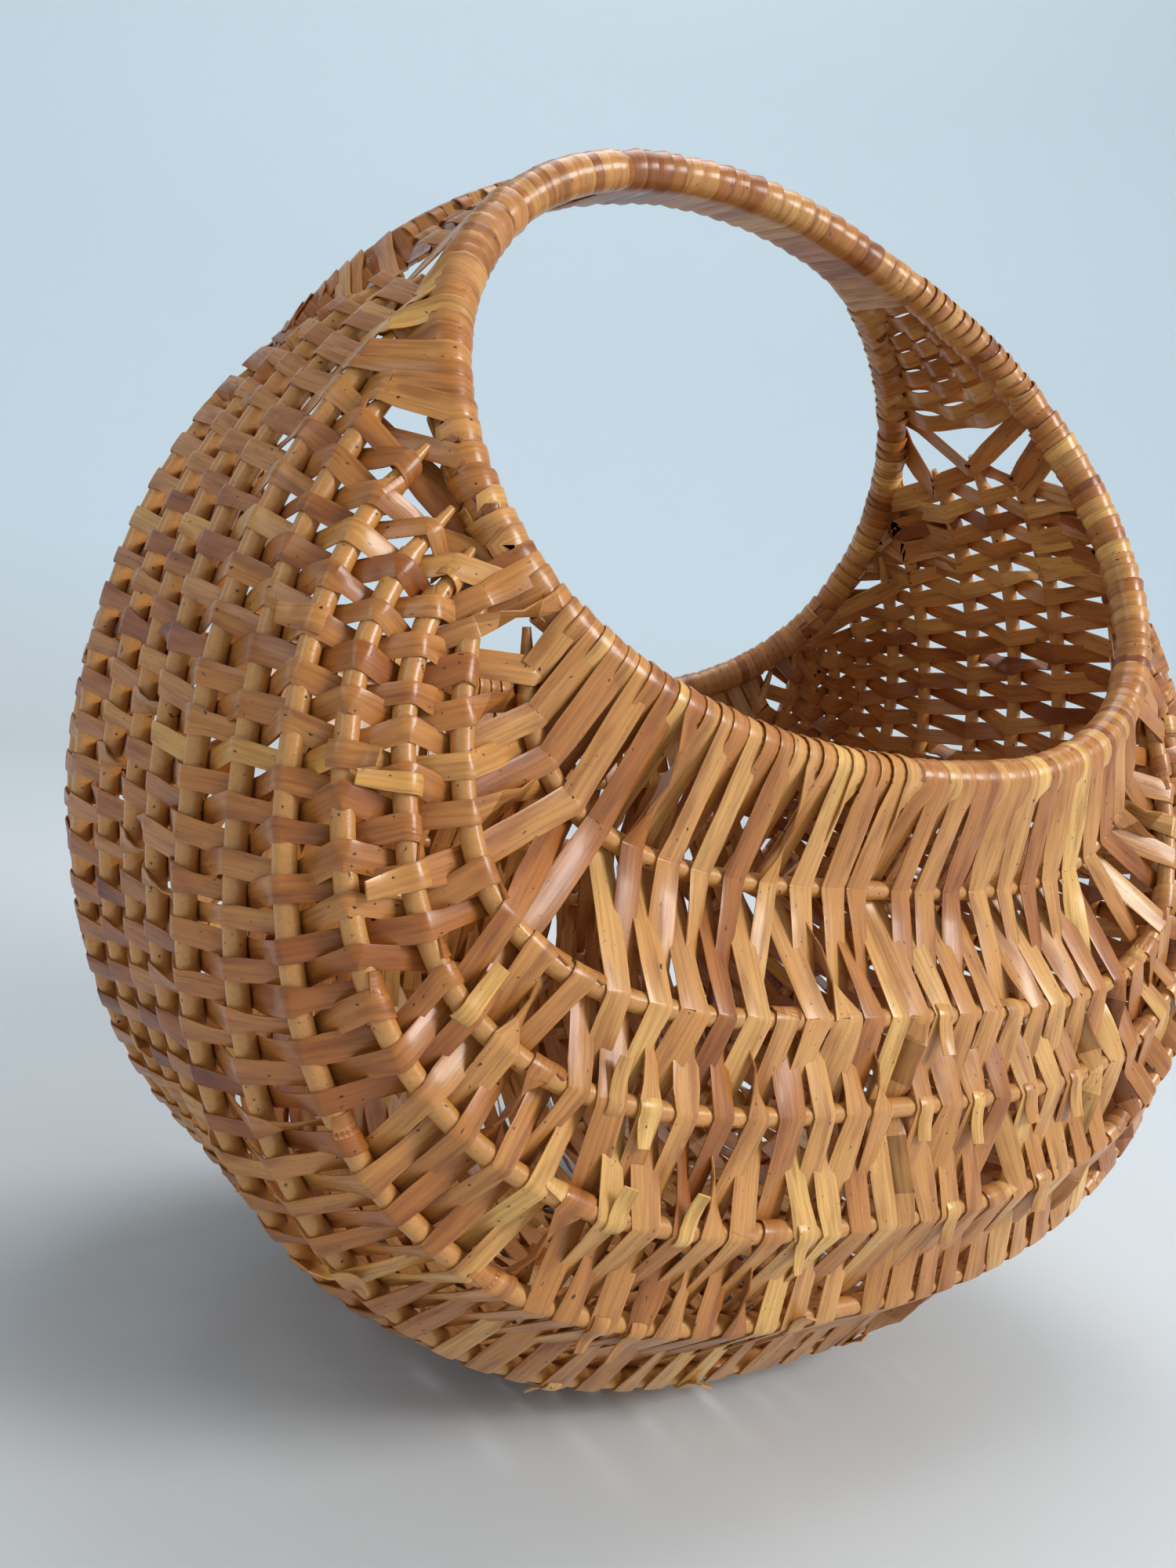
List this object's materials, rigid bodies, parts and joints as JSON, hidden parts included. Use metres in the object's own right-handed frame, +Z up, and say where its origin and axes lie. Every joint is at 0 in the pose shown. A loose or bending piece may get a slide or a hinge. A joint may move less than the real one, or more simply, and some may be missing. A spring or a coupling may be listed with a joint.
{
  "type": "winnowing basket",
  "caption": "Willow frame basket with two wrapped hoops bound into an arched grip, crescent ribs and split-skein weaving.",
  "frame": {"origin": "on the floor under the middle of the basket, midway between the rims and between the ends", "axes": "+X along the grip to the right end, +Y from the front rim to the back rim, +Z up through the top of the grip"},
  "size_m": [0.3872, 0.272, 0.3961],
  "materials": {
    "hoop_rod": "satin",
    "rib_rod": "satin",
    "wrapping_skein": "satin",
    "woven_skein": "satin"
  },
  "bodies": {
    "root": {"front_hoop": "hoop_rod", "back_hoop": "hoop_rod", "front_rib_1": "rib_rod", "front_rib_2": "rib_rod", "front_rib_3": "rib_rod", "front_rib_4": "rib_rod", "front_rib_5": "rib_rod", "front_rib_6": "rib_rod", "front_rib_7": "rib_rod", "front_rib_8": "rib_rod", "back_rib_1": "rib_rod", "back_rib_2": "rib_rod", "back_rib_3": "rib_rod", "back_rib_4": "rib_rod", "back_rib_5": "rib_rod", "back_rib_6": "rib_rod", "back_rib_7": "rib_rod", "back_rib_8": "rib_rod", "middle_rib": "rib_rod", "front_rim_wrap": "wrapping_skein", "back_rim_wrap": "wrapping_skein", "grip_wrap": "wrapping_skein", "left_ear_lashing": "wrapping_skein", "right_ear_lashing": "wrapping_skein", "left_weave_band_1": "woven_skein", "left_weave_band_2": "woven_skein", "left_weave_band_3": "woven_skein", "left_weave_band_4": "woven_skein", "left_weave_band_5": "woven_skein", "left_weave_band_6": "woven_skein", "left_weave_band_7": "woven_skein", "left_weave_band_8": "woven_skein", "left_weave_band_9": "woven_skein", "left_weave_band_10": "woven_skein", "left_weave_band_11": "woven_skein", "left_weave_band_12": "woven_skein", "right_weave_band_1": "woven_skein", "right_weave_band_2": "woven_skein", "right_weave_band_3": "woven_skein", "right_weave_band_4": "woven_skein", "right_weave_band_5": "woven_skein", "right_weave_band_6": "woven_skein", "right_weave_band_7": "woven_skein", "right_weave_band_8": "woven_skein", "right_weave_band_9": "woven_skein", "right_weave_band_10": "woven_skein", "right_weave_band_11": "woven_skein", "right_weave_band_12": "woven_skein"}
  },
  "joints": []
}
